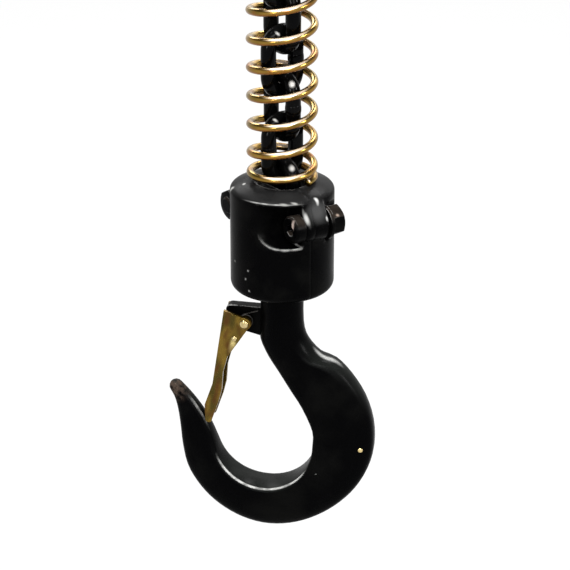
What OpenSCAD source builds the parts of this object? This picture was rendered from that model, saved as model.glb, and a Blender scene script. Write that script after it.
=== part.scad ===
// Hook block of a chain hoist: load chain, buffer spring, split yoke, swivel hook and safety latch.
// Millimetres, +Z up. The origin is the bearing point inside the crown of the top chain link.

/* [Chain] */
// Diameter of the chain wire
chain_wire = 7.1; // [6:0.1:8]
// Inside length of a link
chain_pitch = 21; // [20:0.5:24]
// Outside width of a link
chain_width = 23; // [21.5:0.1:24]
// Slack left between two links
link_gap = 0.1; // [0.05:0.05:0.4]
// Turn of the chain from the line of the clamp bolts
chain_twist = 6; // [0:1:14]
// Depth of the last link's centre below the top of the yoke
link_set = 4.8; // [4:0.1:6]
// Diameter of the pin that the last link hangs on
chain_pin_d = 8; // [6:0.1:8.4]
// Length of the chain pin
chain_pin_l = 22; // [18:0.5:26]

/* [Buffer spring] */
// Diameter of the spring wire
spring_wire = 3.6; // [2.5:0.1:4]
// Outside diameter of the coil
spring_od = 33; // [32:0.5:38]
// Free length of the spring
spring_length = 107; // [95:1:120]
// Number of turns, with one closed turn at each end
spring_turns = 9; // [7:0.5:11]
// Gap between the wires of a closed turn
spring_end_gap = 0.7; // [0.5:0.1:2]
// Where round the axis the lower end of the wire lies
spring_start = -27; // [-180:1:180]

/* [Limit plate] */
// Diameter of the limit plate
plate_d = 40; // [36:1:50]
// Thickness of the limit plate
plate_t = 5; // [3:0.5:8]
// Clearance round the chain in the cross-shaped hole
plate_clear = 1.2; // [0.6:0.1:2]
// Depth of the seat that centres the spring
plate_seat = 1.2; // [0.8:0.1:2]
// Clearance of the spring in its seat
plate_seat_clear = 0.5; // [0.3:0.1:0.8]
// Bevel round the limit plate
plate_edge = 0.8; // [0.4:0.1:1.2]

/* [Yoke] */
// Diameter of the yoke's barrel
yoke_d = 48.6; // [47:0.2:52]
// Free height between the last link and the hook nut
chain_headroom = 2.6; // [1.8:0.1:5]
// Diameter of the flat top that carries the spring
yoke_top_d = 34; // [34:0.5:38]
// Fall of the sloping shoulder
shoulder_fall = 3.8; // [3:0.1:6]
// Rounding between the shoulder and the barrel
shoulder_round = 2.5; // [1:0.5:5]
// Rounding of the bottom edge
yoke_bottom_round = 4; // [1:0.2:5]
// Turn of the clamp bolts away from the plane of the hook
yoke_yaw = 45; // [0:1:90]
// Clearance round the chain inside the yoke
chain_clear = 0.75; // [0.5:0.05:1]
// Depth of the round mouth that the chain enters
mouth_depth = 2.5; // [2:0.5:4]

/* [Clamp bolts] */
// Nominal diameter of a clamp bolt
bolt_d = 8; // [6:0.5:8]
// Distance of a bolt from the swivel axis
bolt_offset = 21; // [20.5:0.1:22]
// Depth of the bolts below the top of the yoke
bolt_drop = 15.8; // [15:0.1:17]
// Diameter of a bolt's head
bolt_head_d = 13; // [11:0.5:13.5]
// Height of a bolt's head
bolt_head_h = 5; // [4:0.5:6]
// Width across flats of the socket in a head
bolt_socket = 5; // [4:0.5:6]
// Width across flats of a clamp nut
nut_flats = 13; // [11:0.5:13.5]
// Height of a clamp nut
nut_h = 6.5; // [5:0.5:8]
// Diameter of a washer
washer_d = 16; // [14:0.5:16.5]
// Thickness of a washer
washer_t = 1.6; // [1:0.1:2]
// Bevel at the ends of bolts and nuts
bolt_edge = 0.8; // [0.4:0.1:1]
// Bolt thread showing past the nut
bolt_proud = 1; // [0.5:0.5:3]
// Clearance round a bolt in its hole
bolt_clear = 0.6; // [0.3:0.1:1]
// Thickness of the ear under a bolt's head
ear_head_side = 4.4; // [4.4:0.1:6]
// Thickness of the ear under a nut
ear_nut_side = 8.8; // [8:0.1:10]
// Radius of the ear round a bolt
ear_r = 7.2; // [6.5:0.1:8]
// Bevel of the ear's edges
ear_bevel = 1.6; // [0.8:0.1:2]
// Radius of the ear's crest under the shoulder
ear_crest_r = 5; // [3.5:0.1:5.5]
// Lean of the ear's crest towards the swivel axis
ear_lean = 2; // [1.5:0.1:6]
// Drop of the ear's crest below the pocket's ceiling
ear_crest_drop = 2.4; // [1:0.1:3]
// Radius of the pocket round a bolt's head
pocket_r = 9.2; // [8:0.1:9.4]
// Depth of the pocket's ceiling below the top of the yoke
pocket_ceiling = 4; // [3.5:0.5:6]
// Radius of the spot face round a nut
spot_r = 9.2; // [8.6:0.1:10]

/* [Swivel bearing] */
// Diameter of the hook's shank
shank_d = 20; // [18:0.5:20]
// Outside diameter of the thrust bearing
bearing_od = 35; // [34:0.5:36]
// Height of the thrust bearing
bearing_h = 10; // [9:0.5:11]
// Diameter of a ball
ball_d = 5.5; // [4.5:0.1:6]
// Number of balls
ball_count = 12; // [8:1:13]
// Gap between the two races
race_gap = 3; // [2.5:0.1:3.5]
// Clearance of a ball in its groove and in the cage
ball_clear = 0.12; // [0.05:0.01:0.2]
// Thickness of the cage
cage_t = 1.6; // [1:0.1:2]
// Metal of the cage inside and outside the balls
cage_rim = 0.7; // [0.5:0.1:1]
// Clearance of the bearing in the yoke
bearing_clear = 0.2; // [0.1:0.05:0.4]
// Running clearance round the shank
shank_clear = 0.5; // [0.3:0.1:0.8]
// Thickness of the yoke's floor under the bearing
floor_t = 9; // [7:0.5:10]
// Diameter of the hook nut
hook_nut_d = 31; // [28:0.5:32]
// Height of the hook nut
hook_nut_h = 9; // [8:0.5:9.5]
// Width across the hook nut's two flats
hook_nut_flats = 27; // [24:0.5:29]
// Free space above the hook nut
hook_nut_top_clear = 0.6; // [0.4:0.1:1]
// Free space round the hook nut
hook_nut_clear = 1.2; // [0.8:0.1:1.4]
// Diameter of the lock pin through nut and shank
lock_pin_d = 4; // [3:0.5:5]
// Depth of the lock pin's ends below the nut's rim
lock_pin_set = 0.3; // [0.1:0.1:1]

/* [Hook] */
// Diameter of the neck below the yoke
neck_d = 20.6; // [20.2:0.2:24]
// Gap between the yoke and the neck
neck_gap = 1; // [0.5:0.1:2]
// Drop of the bowl's centre below the yoke
bowl_drop = 81; // [76:0.5:90]
// Offset of the bowl's centre from the swivel axis
bowl_offset = 8.5; // [6:0.5:10]
// Radius of the bowl
bowl_r = 24.5; // [22:0.5:26]
// Width of the section at the shoulder of the back
crest_w = 31.6; // [27:0.2:33]
// Width of the section at the back
back_w = 29.2; // [26:0.2:31]
// Set of the straight back outside the bowl's circle
back_set = 2.4; // [0:0.1:3]
// Width of the section between the back and the saddle
flank_w = 23.8; // [22:0.2:28]
// Width of the section at the saddle
saddle_w = 22; // [20:0.2:26]
// Width of the section between the saddle and the nose
toe_w = 19.8; // [18:0.2:24]
// Width of the section at the root of the nose
nose_root_w = 18.2; // [16:0.2:21]
// Width of the section at the tip of the nose
nose_tip_w = 6.6; // [4.5:0.1:8]
// Distance of the tip beyond the bowl's centre
nose_reach = 44.2; // [43:0.2:50]
// Rise of the tip above the bowl's centre
nose_rise = 22.8; // [17:0.2:25]
// Radius of the hollow between the neck and the back
neck_hollow = 22; // [18:1:26]
// Rise of that hollow's centre above the head of the back
hollow_rise = 12.8; // [10:0.2:17]
// Pull of the nose along the bowl, on its inside
nose_in_pull = 5; // [3:0.5:9]
// Pull of the nose along the bowl, on its outside
nose_out_pull = 9; // [7:0.5:13]
// Length of the inside that runs straight to the tip
nose_in_run = 24; // [18:0.5:26]
// Length of the outside that runs straight to the tip
nose_out_run = 10; // [7:0.5:13]
// Depth of the section on the inside of the bowl
hook_depth = 20; // [17:0.5:22]
// Depth of the section on the outside of the back
hook_rim_depth = 15; // [12:0.5:18]
// Depth of the section at the root of the nose
nose_depth = 16.5; // [14:0.5:19]
// Depth of the section at the tip of the nose
nose_tip_depth = 7; // [5:0.5:9]

/* [Latch] */
// Distance of the pivot from the swivel axis
pivot_offset = 17; // [16:0.2:19]
// Drop of the pivot below the yoke
pivot_drop = 19; // [18:0.5:22]
// Diameter of the latch pin
latch_pin_d = 4.5; // [3.5:0.1:5]
// Diameter of the latch pin's heads
latch_pin_head_d = 6; // [5.6:0.1:8]
// Height of the latch pin's heads
latch_pin_head_h = 1.2; // [0.8:0.1:2]
// Clearance of the latch pin in the latch and the lug
latch_pin_clear = 0.1; // [0.05:0.01:0.2]
// Thickness of the latch sheet
latch_sheet = 1.6; // [1.2:0.1:2]
// Outside width of the latch
latch_w = 11.6; // [11.5:0.1:13]
// Thickness of the lug on the neck
lug_t = 5; // [4:0.1:5.5]
// Set of the lug to the rear, which leaves room for the latch spring in front
lug_set = 1.2; // [1:0.1:1.3]
// Radius of the lug round the pivot
lug_r = 6.2; // [5.5:0.1:7]
// Reach of the lug's tongue beyond the pivot
lug_tongue = 7.6; // [5:0.1:9]
// Rise of the tongue's middle above the top of the latch
lug_tongue_rise = 2.5; // [1.6:0.1:4]
// Radius of the tongue's end
lug_tongue_r = 2.5; // [1.5:0.1:2.6]
// Length of the lug's root below the pivot
lug_root = 4; // [2:0.5:6]
// Distance of the web's outside from the pivot
latch_web_offset = 11.5; // [10.6:0.1:12]
// Distance of the web's upper edge below the pivot
latch_web_top = 4; // [3:0.5:8]
// Distance of the web's outside from the latch's middle line near the tip
latch_low_offset = 4.3; // [1.8:0.1:5]
// Height of the latch above its pivot
latch_top = 2; // [1.8:0.1:5]
// Radius of the cheeks round the pin
latch_eye_r = 3.2; // [3.1:0.1:4.5]
// Rise of the cheeks' inside edge behind the pivot
cheek_heel = 0.5; // [0.2:0.1:1]
// Rise of the cheeks' inside edge just past the pivot
cheek_neck = 0.2; // [0.1:0.1:1]
// Depth of the waist in the cheeks' inside edge
cheek_waist = 2.1; // [1:0.1:2.5]
// Rise of the cheeks' inside edge near the tip
cheek_toe = 1.5; // [1:0.1:3.5]
// Radius of the latch's tip
latch_tip_r = 1.6; // [1.2:0.1:2.5]
// Gap between the latch's tip and the nose
latch_tip_gap = 0.8; // [0.3:0.1:1]
// Diameter of the latch spring's wire
latch_wire = 0.7; // [0.5:0.05:0.8]
// Gap between the turns of the latch spring
latch_wire_gap = 0.45; // [0.42:0.01:0.6]
// Length of the leg that rests on the neck
neck_leg = 7.2; // [5:0.2:7.6]
// Length of the leg that presses on the web
web_leg = 15; // [10:0.5:17]
// Clearance of the latch spring round its pin
latch_coil_clear = 0.5; // [0.3:0.1:0.8]

/* [Hidden] */
$fn = 64;

// Finishes
black = "#1c1d1f";
chain_black = "#232427";
zinc_gold = "#b8963e";
bright_steel = "#a3a8ad";
brass = "#b39b5a";

// Chain heights, measured from the top of the yoke
link_count = 9;
link_step = chain_pitch - link_gap;
link_bend_r = (chain_width - chain_wire) / 2;
link_straight = chain_pitch + chain_wire - 2 * link_bend_r;
top_link_z = (link_count - 1) * link_step - link_set;
yoke_top_z = -(top_link_z + chain_pitch / 2);
chain_pin_z = -link_set - chain_pitch / 2 + chain_pin_d / 2 + link_gap;

// Yoke, bearing and nut heights, measured from the top of the yoke
link_reach = link_set + chain_pitch / 2 + chain_wire;
yoke_h = link_reach + chain_headroom + hook_nut_h + bearing_h + floor_t;
yoke_r = yoke_d / 2;
yoke_top_r = yoke_top_d / 2;
bearing_seat_z = -yoke_h + floor_t;
bearing_top_z = bearing_seat_z + bearing_h;
nut_top_z = bearing_top_z + hook_nut_h;
ball_z = bearing_seat_z + bearing_h / 2;
ball_ring_r = (shank_d + bearing_od) / 4;
race_t = (bearing_h - race_gap) / 2;
nut_cavity_z = nut_top_z + hook_nut_top_clear;
bolt_nut_s = ear_nut_side + washer_t;
bolt_end_s = bolt_nut_s + nut_h + bolt_proud;

// Hook landmarks in the plane of the hook, as [x, z] from the top of the yoke
neck_r = neck_d / 2;
neck_top = -yoke_h - neck_gap;
bowl = [-bowl_offset, -yoke_h - bowl_drop];
// The straight inside of the back touches the bowl at this angle and meets the neck above it
back_slope = 33.7;
back_foot = bowl + (bowl_r + back_set) * [cos(back_slope), sin(back_slope)];
back_head = [-neck_r, back_foot[1] + (back_foot[0] + neck_r) / tan(back_slope)];
hollow_centre = [neck_r + neck_hollow, back_head[1] + hollow_rise];
saddle_angle = -95;
nose_root_angle = -155;
nose_lean = 126;
nose_in_lean = 134;
nose_tip = bowl + [-nose_reach, nose_rise];
nose_rim_depth = nose_depth * hook_rim_depth / hook_depth;

// Latch landmarks
pivot = [-pivot_offset, -yoke_h - pivot_drop];
latch_seat = 0.64;
coil_r = latch_pin_d / 2 + latch_coil_clear + latch_wire / 2;
coil_turns = 2;

// Resolution of the swept forms
loft_steps = 3;
bowl_steps = 12;
section_points = 24;
coil_rings = 16;
coil_sides = 8;
latch_coil_rings = 12;
latch_coil_sides = 6;
eps = 0.01;
// How far a cut runs past the face that it opens
over = 1;

function mix(a, b, t) = a + (b - a) * t;
function flat(lists) = [for (l = lists) for (item = l) item];
function unit(v) = v / norm(v);
function polar(r, a) = [r * cos(a), r * sin(a)];
// Points of an arc in a plane
function arc(centre, r, from, to, steps = 8) =
    [for (i = [0:steps]) centre + polar(r, mix(from, to, i / steps))];
// Smooth curve through four neighbouring rows
function blend4(a, b, c, d, t) =
    0.5 * (2 * b + (c - a) * t + (2 * a - 5 * b + 4 * c - d) * t * t + (3 * b - 3 * c + d - a) * t * t * t);
function through(rows, steps) =
    let (last = len(rows) - 1)
    [for (i = [0:last - 1]) for (k = [0:(i == last - 1 ? steps : steps - 1)])
        blend4(rows[max(i - 1, 0)], rows[i], rows[i + 1], rows[min(i + 2, last)], k / steps)];

// Places a piece drawn from the top of the yoke into the part's frame
module hung() {
    translate([0, 0, yoke_top_z]) children();
}

// Turns a piece to the clamp bolts: their axis lies along X
module bolt_frame(side = 1) {
    rotate([0, 0, yoke_yaw + (side > 0 ? 0 : 180)]) children();
}

// Cylinder along X from one end to the other
module bar_x(r, from, to) {
    translate([from, 0, 0]) rotate([0, 90, 0]) cylinder(r = r, h = to - from);
}

// Cylinder along Y, centred
module bar_y(r, length) {
    rotate([90, 0, 0]) cylinder(r = r, h = length, center = true);
}

// Skin over rings of equally many points, closed by a flat cap at each end
module skin(rings) {
    n = len(rings[0]);
    last = len(rings) - 1;
    sides = [for (i = [0:last - 1]) for (k = [0:n - 1])
        let (a = i * n + k, b = i * n + (k + 1) % n)
        each [[a, a + n, b], [b, a + n, b + n]]];
    caps = [for (k = [1:n - 2]) each [[0, k, k + 1], [last * n, last * n + k + 1, last * n + k]]];
    polyhedron(points = flat(rings), faces = concat(sides, caps), convexity = 10);
}

// Rings of a round wire along a path that winds about an axis
function wire_rings(path, r, axis, sides) =
    let (last = len(path) - 1)
    [for (i = [0:last])
        let (t = unit(path[min(i + 1, last)] - path[max(i - 1, 0)]),
             n = unit(cross(axis, t)),
             b = cross(t, n))
        [for (k = [0:sides - 1]) path[i] + r * (cos(360 * k / sides) * n + sin(360 * k / sides) * b)]];

// One chain link, standing in the XZ plane about its own centre
module link() {
    for (end = [0, 180]) {
        rotate([0, end, 0]) translate([0, 0, link_straight / 2]) rotate([90, 0, 0])
            rotate_extrude(angle = 180) translate([link_bend_r, 0]) circle(d = chain_wire);
    }
    for (side = [-1, 1]) {
        translate([side * link_bend_r, 0, 0])
            cylinder(d = chain_wire, h = link_straight, center = true);
    }
}

// Links are counted from the top: every other one stands across the chain pin
module chain_link(number) {
    across = (link_count - number) % 2 == 0;
    color(chain_black) hung()
        translate([0, 0, top_link_z - (number - 1) * link_step])
            rotate([0, 0, yoke_yaw + chain_twist + (across ? 90 : 0)]) link();
}

module chain_pin() {
    color(bright_steel) hung() bolt_frame() rotate([0, 0, chain_twist]) translate([0, 0, chain_pin_z])
        bar_x(chain_pin_d / 2, -chain_pin_l / 2, chain_pin_l / 2);
}

// Steel disc on top of the spring, with a cross-shaped hole that both ways of link pass
module limit_plate() {
    slot_l = chain_width + 2 * plate_clear;
    slot_w = chain_wire + 2 * plate_clear;
    plate_r = plate_d / 2;
    height = plate_t + plate_seat;
    color(black) hung() translate([0, 0, spring_length - plate_seat]) difference() {
        rotate_extrude() polygon([
            [0, 0], [plate_r - plate_edge, 0], [plate_r, plate_edge],
            [plate_r, height - plate_edge], [plate_r - plate_edge, height], [0, height]]);
        translate([0, 0, -eps]) cylinder(d = spring_od + 2 * plate_seat_clear, h = plate_seat + eps);
        for (turn = [0, 90]) {
            rotate([0, 0, yoke_yaw + chain_twist + turn]) cube([slot_l, slot_w, 3 * height], center = true);
        }
    }
}

// Height of the wire's centre after a number of turns, from closed end to closed end
spring_end_pitch = spring_wire + spring_end_gap;
spring_pitch = (spring_length - spring_wire - 2 * spring_end_pitch) / (spring_turns - 2);
function spring_climb(t) =
    spring_end_pitch * (min(t, 1) + max(t - spring_turns + 1, 0))
    + spring_pitch * min(max(t - 1, 0), spring_turns - 2);
spring_path = [for (i = [0:spring_turns * coil_rings])
    let (t = i / coil_rings, a = spring_start + 360 * t, r = (spring_od - spring_wire) / 2)
    [r * cos(a), r * sin(a), spring_wire / 2 + spring_climb(t)]];
// Least gap between one turn and the next
spring_gap = min([for (i = [0:len(spring_path) - 1])
    for (j = [i + coil_rings / 2:min(i + 3 * coil_rings / 2, len(spring_path) - 1)])
        norm(spring_path[j] - spring_path[i])]) - spring_wire;

module buffer_spring() {
    echo(str("buffer spring: least gap to itself ", spring_gap, " mm"));
    color(zinc_gold) hung() skin(wire_rings(spring_path, spring_wire / 2, [0, 0, 1], coil_sides));
}

// Barrel with a sloping shoulder and a rounded bottom edge
module yoke_barrel() {
    slope = atan2(shoulder_fall, yoke_r - yoke_top_r);
    knee = shoulder_round * tan(slope / 2);
    round_centre = [yoke_r - shoulder_round, -shoulder_fall - knee];
    foot = [yoke_r - yoke_bottom_round, -yoke_h + yoke_bottom_round];
    rotate_extrude() polygon(concat(
        [[0, 0], [yoke_top_r, 0]],
        arc(round_centre, shoulder_round, 90 - slope, 0),
        arc(foot, yoke_bottom_round, 0, -90),
        [[0, -yoke_h]]));
}

// Ear round a clamp bolt, from the head's seat to the nut's seat, running up into the shoulder
module clamp_ear() {
    round_the_bolt = [bolt_offset, -bolt_drop, ear_r];
    crest = [bolt_offset - ear_lean, -pocket_ceiling - ear_crest_drop, ear_crest_r];
    hull() {
        for (spot = [round_the_bolt, crest]) {
            translate([0, -spot[0], spot[1]]) {
                bar_x(spot[2], -ear_head_side + ear_bevel, ear_nut_side - ear_bevel, $fn = 32);
                bar_x(spot[2] - ear_bevel, -ear_head_side, ear_nut_side, $fn = 32);
            }
        }
    }
}

// Everything cut for one clamp bolt: its hole, the pocket of its head and the nut's spot face
module clamp_cuts() {
    reach = yoke_d;
    translate([0, -bolt_offset, -bolt_drop]) {
        bar_x(bolt_d / 2 + bolt_clear / 2, -reach, reach);
        bar_x(pocket_r, -reach, -ear_head_side);
        translate([-reach, -pocket_r, 0])
            cube([reach - ear_head_side, 2 * pocket_r, bolt_drop - pocket_ceiling]);
        bar_x(spot_r, ear_nut_side, reach);
    }
}

// Room inside the yoke for the chain, its pin, the hook nut and the bearing
module yoke_cavity() {
    slot_l = chain_width + 2 * chain_clear;
    slot_w = chain_wire + 2 * chain_clear;
    rotate([0, 0, 90 + chain_twist]) translate([-slot_l / 2, -slot_w / 2, nut_cavity_z - eps])
        cube([slot_l, slot_w, over - nut_cavity_z]);
    translate([0, 0, -mouth_depth]) cylinder(d = slot_l, h = mouth_depth + over);
    rotate([0, 0, chain_twist]) translate([0, 0, chain_pin_z])
        bar_x(chain_pin_d / 2, -chain_pin_l / 2, chain_pin_l / 2);
    translate([0, 0, bearing_top_z - eps])
        cylinder(d = hook_nut_d + 2 * hook_nut_clear, h = nut_cavity_z - bearing_top_z + eps);
    translate([0, 0, bearing_seat_z])
        cylinder(d = bearing_od + 2 * bearing_clear, h = bearing_h + bearing_clear);
    translate([0, 0, -yoke_h - over]) cylinder(d = shank_d + 2 * shank_clear, h = yoke_h / 2);
}

// One half of the yoke: the two halves are the same casting, turned half way round
module yoke_half(side) {
    color(black) hung() bolt_frame(side) difference() {
        intersection() {
            union() {
                yoke_barrel();
                clamp_ear();
                rotate([0, 0, 180]) clamp_ear();
            }
            translate([-yoke_d, -yoke_d, -yoke_h - over]) cube([yoke_d, 2 * yoke_d, yoke_h + 2 * over]);
        }
        yoke_cavity();
        clamp_cuts();
        rotate([0, 0, 180]) clamp_cuts();
    }
}

module yoke_front_half() {
    yoke_half(1);
}

module yoke_rear_half() {
    yoke_half(-1);
}

// Both clamp bolts are the same, one turned half way round the axis from the other
module at_clamps() {
    hung() for (side = [-1, 1]) {
        bolt_frame(side) translate([0, -bolt_offset, -bolt_drop]) children();
    }
}

module hexagon_bar(flats, from, to) {
    translate([from, 0, 0]) rotate([0, 90, 0]) cylinder(d = flats / cos(30), h = to - from, $fn = 6);
}

// Hexagon whose outer corners are turned off, as on a nut
module nut_blank(flats, from, to) {
    face_r = flats / 2 - bolt_edge / 4;
    spread = (to - from) * tan(60);
    intersection() {
        hexagon_bar(flats, from, to);
        translate([from, 0, 0]) rotate([0, 90, 0])
            cylinder(r1 = face_r + spread, r2 = face_r, h = to - from);
    }
}

module clamp_bolts() {
    head_end = -ear_head_side - bolt_head_h;
    head_r = bolt_head_d / 2;
    bolt_r = bolt_d / 2;
    socket_depth = bolt_head_h / 2;
    color(black) at_clamps() difference() {
        rotate([0, 90, 0]) rotate_extrude() polygon([
            [0, head_end], [head_r - bolt_edge, head_end], [head_r, head_end + bolt_edge],
            [head_r, -ear_head_side], [bolt_r, -ear_head_side], [bolt_r, bolt_end_s - bolt_edge],
            [bolt_r - bolt_edge, bolt_end_s], [0, bolt_end_s]]);
        hexagon_bar(bolt_socket, head_end - eps, head_end + socket_depth);
    }
}

module clamp_washers() {
    color(black) at_clamps() difference() {
        bar_x(washer_d / 2, ear_nut_side, bolt_nut_s);
        bar_x(bolt_d / 2 + bolt_clear / 4, 0, bolt_end_s);
    }
}

module clamp_nuts() {
    color(black) at_clamps() difference() {
        nut_blank(nut_flats, bolt_nut_s, bolt_nut_s + nut_h);
        bar_x(bolt_d / 2, 0, bolt_end_s + over);
    }
}

// Groove that the balls run in
module ball_groove() {
    translate([0, 0, ball_z]) rotate_extrude()
        translate([ball_ring_r, 0]) circle(d = ball_d + 2 * ball_clear);
}

module race(from_z, bore_d) {
    color(bright_steel) hung() difference() {
        translate([0, 0, from_z]) cylinder(d = bearing_od, h = race_t);
        translate([0, 0, from_z - over]) cylinder(d = bore_d, h = race_t + 2 * over);
        ball_groove();
    }
}

module bearing_upper_race() {
    race(bearing_top_z - race_t, shank_d + shank_clear / 2);
}

module bearing_lower_race() {
    race(bearing_seat_z, shank_d + 2 * shank_clear);
}

module at_balls() {
    for (i = [0:ball_count - 1]) {
        rotate([0, 0, 360 * i / ball_count]) translate([ball_ring_r, 0, ball_z]) children();
    }
}

module bearing_balls() {
    color(bright_steel) hung() at_balls() sphere(d = ball_d);
}

module bearing_cage() {
    color(brass) hung() difference() {
        translate([0, 0, ball_z - cage_t / 2])
            cylinder(r = ball_ring_r + ball_d / 2 + cage_rim, h = cage_t);
        translate([0, 0, ball_z - cage_t])
            cylinder(r = ball_ring_r - ball_d / 2 - cage_rim, h = 2 * cage_t);
        at_balls() cylinder(d = ball_d + 2 * ball_clear, h = 2 * cage_t, center = true);
    }
}

// Cross hole for the lock pin, through the middle of the nut and the shank
module lock_hole(d) {
    translate([0, 0, nut_top_z - hook_nut_h / 2]) bar_y(d / 2, 2 * hook_nut_d);
}

module hook_nut() {
    color(bright_steel) hung() difference() {
        intersection() {
            translate([0, 0, bearing_top_z]) cylinder(d = hook_nut_d, h = hook_nut_h);
            translate([-hook_nut_flats / 2, -hook_nut_d, bearing_top_z - over])
                cube([hook_nut_flats, 2 * hook_nut_d, hook_nut_h + 2 * over]);
        }
        translate([0, 0, bearing_top_z - over]) cylinder(d = shank_d, h = hook_nut_h + 2 * over);
        lock_hole(lock_pin_d);
    }
}

module nut_lock_pin() {
    color(bright_steel) hung() intersection() {
        lock_hole(lock_pin_d);
        translate([0, 0, -yoke_h]) cylinder(d = hook_nut_d - 2 * lock_pin_set, h = yoke_h);
    }
}

// A row of the hook: inner and outer point of the section, its two depths and how square each side is
function row(inside, outside, depth_in, depth_out, square_in, square_out) =
    [inside[0], inside[1], outside[0], outside[1], depth_in, depth_out, square_in, square_out];
// Width of the section round the bowl, from the crest of the back to the root of the nose
width_steps = [[45, crest_w], [0, back_w], [-45, flank_w], [-90, saddle_w], [-126, toe_w], [-162, nose_root_w]];
function bowl_w(a) = let (i = a > 0 ? 0 : a > -45 ? 1 : a > -90 ? 2 : a > -126 ? 3 : 4,
                          from = width_steps[i], to = width_steps[i + 1])
    blend4(width_steps[max(i - 1, 0)][1], from[1], to[1], width_steps[min(i + 2, 5)][1],
           (min(a, from[0]) - from[0]) / (to[0] - from[0]));
function rim_point(a) = bowl + polar(bowl_r + bowl_w(a), a);
function bowl_point(a) = bowl + polar(bowl_r, a);
function hollow_point(a) = hollow_centre - neck_hollow * [cos(a), sin(a)];
function back_point(t) = mix(back_head, back_foot, t);
// Depth of the outside, which thins slowly from the round neck to the back
function thinned(t) = mix(neck_d, hook_rim_depth, t);

neck_rows = [
    row([-neck_r, neck_top], [neck_r, neck_top], neck_d, neck_d, 2, 2),
    row([-neck_r, back_head[1] + 0.64 * hollow_rise], hollow_point(4), neck_d, thinned(0.08), 2, 2),
    row([-neck_r, back_head[1] + 0.18 * hollow_rise], hollow_point(28), neck_d, thinned(0.24), 2.2, 2.2)];
back_rows = [
    row(back_point(0.14), hollow_point(54), (neck_d + hook_depth) / 2, thinned(0.44), 2.6, 2.6),
    row(back_point(0.36), rim_point(51), hook_depth, thinned(0.62), 3.2, 3),
    row(back_point(0.62), rim_point(41), hook_depth, thinned(0.78), 4, 3.3),
    row(back_point(0.86), rim_point(28), hook_depth, thinned(0.92), 4.8, 3.5),
    row(bowl + polar(bowl_r + back_set / 2, 19), rim_point(14), hook_depth, hook_rim_depth, 6, 3.5)];
// Past the saddle the section loses depth towards the nose
function past_saddle(a) = max(0, (saddle_angle - a) / (saddle_angle - nose_root_angle));
bowl_rows = [for (i = [0:bowl_steps]) let (a = nose_root_angle * i / bowl_steps)
    row(bowl_point(a), rim_point(a), mix(hook_depth, nose_depth, past_saddle(a)),
        mix(hook_rim_depth, nose_rim_depth, past_saddle(a)), mix(7, 5, past_saddle(a)),
        mix(3.5, 3, past_saddle(a)))];

// The nose leaves the bowl and thins to its tip between an inner and an outer curve
function bezier(p, t) =
    pow(1 - t, 3) * p[0] + 3 * t * pow(1 - t, 2) * p[1] + 3 * t * t * (1 - t) * p[2] + pow(t, 3) * p[3];
nose_set_off = [sin(nose_root_angle), -cos(nose_root_angle)];
nose_way = polar(1, nose_lean);
nose_side = nose_tip_w / 2 * [nose_way[1], -nose_way[0]];
nose_inside = [bowl_point(nose_root_angle), bowl_point(nose_root_angle) + nose_in_pull * nose_set_off,
               nose_tip + nose_side - polar(nose_in_run, nose_in_lean), nose_tip + nose_side];
nose_outside = [rim_point(nose_root_angle), rim_point(nose_root_angle) + nose_out_pull * nose_set_off,
                nose_tip - nose_side - nose_out_run * nose_way, nose_tip - nose_side];
function nose_row(t) =
    row(bezier(nose_inside, t), bezier(nose_outside, t), mix(nose_depth, nose_tip_depth, t),
        mix(nose_rim_depth, nose_tip_depth, t), mix(5, 2.1, t), mix(3, 2.1, t));
nose_rows = [for (t = [0.3, 0.5, 0.66, 0.79, 0.9, 1]) nose_row(t)];

// Round end of the nose, beyond its last row
function tip_row(a) =
    let (middle = nose_tip + nose_way * sin(a) * nose_tip_w / 2,
         side = nose_side * cos(a))
    row(middle + side, middle - side, nose_tip_depth * cos(a), nose_tip_depth * cos(a), 2.1, 2.1);
tip_rows = [for (a = [25, 50, 72, 86]) tip_row(a)];

function signed_power(v, p) = sign(v) * pow(abs(v), p);
// Ring of a rounded section: from the inside of the hook round to the outside and back
function hook_ring(r) =
    let (inside = [r[0], r[1]], outside = [r[2], r[3]])
    [for (k = [0:section_points - 1])
        let (a = 360 * k / section_points,
             square = cos(a) > 0 ? r[6] : r[7],
             across = signed_power(cos(a), 2 / square),
             deep = signed_power(sin(a), 2 / square),
             spot = mix(inside, outside, (1 - across) / 2),
             depth = mix(r[4], r[5], (1 - across) / 2))
        [spot[0], deep * depth / 2, spot[1]]];

hook_rings = [for (r = concat(
    through(concat(neck_rows, back_rows, bowl_rows, nose_rows), loft_steps), tip_rows)) hook_ring(r)];

// Lug on the neck that carries the latch, with a tongue over the top of the latch
module latch_lug() {
    tongue = pivot + [-lug_tongue, latch_top + lug_tongue_rise];
    tongue_top = tongue[1] + lug_tongue_r;
    translate([0, lug_set, 0]) rotate([90, 0, 0]) linear_extrude(height = lug_t, center = true) {
        translate(pivot) circle(r = lug_r);
        translate(tongue) circle(r = lug_tongue_r);
        polygon([pivot + [0, -lug_r], pivot - [lug_r, 0], tongue - [0, lug_tongue_r],
                 [tongue[0], tongue_top], [0, tongue_top], [0, pivot[1] - lug_r - lug_root]]);
    }
}

module hook() {
    color(black) hung() difference() {
        union() {
            skin(hook_rings);
            translate([0, 0, neck_top - neck_d]) cylinder(d = shank_d, h = nut_top_z - neck_top + neck_d);
            latch_lug();
        }
        lock_hole(lock_pin_d);
        translate([pivot[0], 0, pivot[1]]) bar_y(latch_pin_d / 2 + latch_pin_clear, 2 * latch_w);
    }
}

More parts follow.
